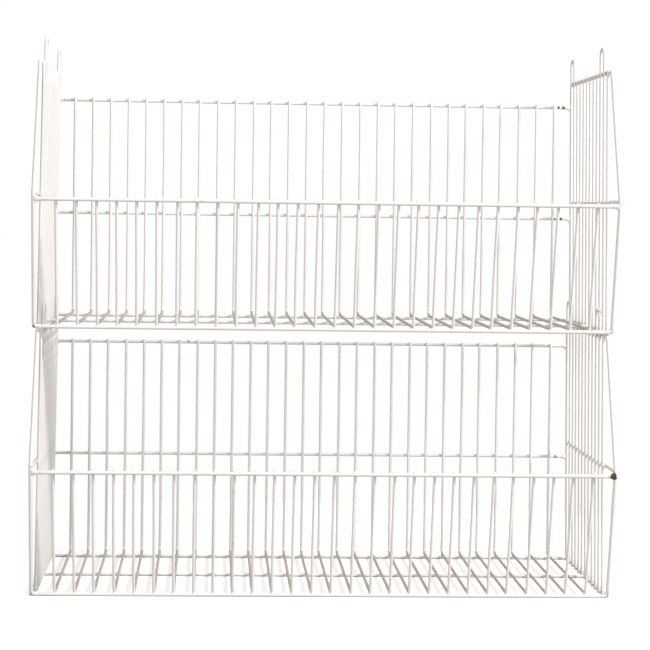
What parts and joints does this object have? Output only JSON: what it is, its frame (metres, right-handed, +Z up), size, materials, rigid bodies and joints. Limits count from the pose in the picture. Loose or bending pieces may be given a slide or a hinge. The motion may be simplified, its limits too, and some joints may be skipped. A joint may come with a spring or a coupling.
{
  "type": "stacking wire mesh container",
  "caption": "Stack of open-fronted white wire baskets with leaning hopper fronts, wire mesh floors and backs, and hairpin stacking loops.",
  "frame": {"origin": "centre of the footprint, on the floor", "axes": "+X along the width, -Y towards the open front, +Z up"},
  "size_m": [0.886, 0.444, 0.8482],
  "materials": {
    "white_coat": "dipped white coat, semi-gloss, slightly yellowed, chipped and rusted at a few welds"
  },
  "bodies": {
    "lower_basket": {"lower_mesh_wires_01": "white_coat", "lower_mesh_wires_02": "white_coat", "lower_mesh_wires_03": "white_coat", "lower_mesh_wires_04": "white_coat", "lower_mesh_wires_05": "white_coat", "lower_mesh_wires_06": "white_coat", "lower_mesh_wires_07": "white_coat", "lower_mesh_wires_08": "white_coat", "lower_mesh_wires_09": "white_coat", "lower_mesh_wires_10": "white_coat", "lower_mesh_wires_11": "white_coat", "lower_mesh_wires_12": "white_coat", "lower_mesh_wires_13": "white_coat", "lower_mesh_wires_14": "white_coat", "lower_back_top_rail": "white_coat", "lower_back_mid_rail": "white_coat", "lower_front_top_rail": "white_coat", "lower_base_front_rail": "white_coat", "lower_floor_mid_rod": "white_coat", "lower_floor_rear_rod": "white_coat", "lower_left_frame": "white_coat", "lower_left_mid_rail": "white_coat", "lower_left_side_wires": "white_coat", "lower_left_front_loop": "white_coat", "lower_left_rear_loop": "white_coat", "lower_right_frame": "white_coat", "lower_right_mid_rail": "white_coat", "lower_right_side_wires": "white_coat", "lower_right_front_loop": "white_coat", "lower_right_rear_loop": "white_coat"},
    "upper_basket": {"upper_mesh_wires_01": "white_coat", "upper_mesh_wires_02": "white_coat", "upper_mesh_wires_03": "white_coat", "upper_mesh_wires_04": "white_coat", "upper_mesh_wires_05": "white_coat", "upper_mesh_wires_06": "white_coat", "upper_mesh_wires_07": "white_coat", "upper_mesh_wires_08": "white_coat", "upper_mesh_wires_09": "white_coat", "upper_mesh_wires_10": "white_coat", "upper_mesh_wires_11": "white_coat", "upper_mesh_wires_12": "white_coat", "upper_mesh_wires_13": "white_coat", "upper_mesh_wires_14": "white_coat", "upper_back_top_rail": "white_coat", "upper_back_mid_rail": "white_coat", "upper_front_top_rail": "white_coat", "upper_base_front_rail": "white_coat", "upper_floor_mid_rod": "white_coat", "upper_floor_rear_rod": "white_coat", "upper_left_frame": "white_coat", "upper_left_mid_rail": "white_coat", "upper_left_side_wires": "white_coat", "upper_left_front_loop": "white_coat", "upper_left_rear_loop": "white_coat", "upper_right_frame": "white_coat", "upper_right_mid_rail": "white_coat", "upper_right_side_wires": "white_coat", "upper_right_front_loop": "white_coat", "upper_right_rear_loop": "white_coat"}
  },
  "joints": [
    {"name": "upper_basket_lift", "type": "slide", "parent": "lower_basket", "child": "upper_basket", "axis": [0, 0, 1], "range_m": [0, 0.15]}
  ]
}
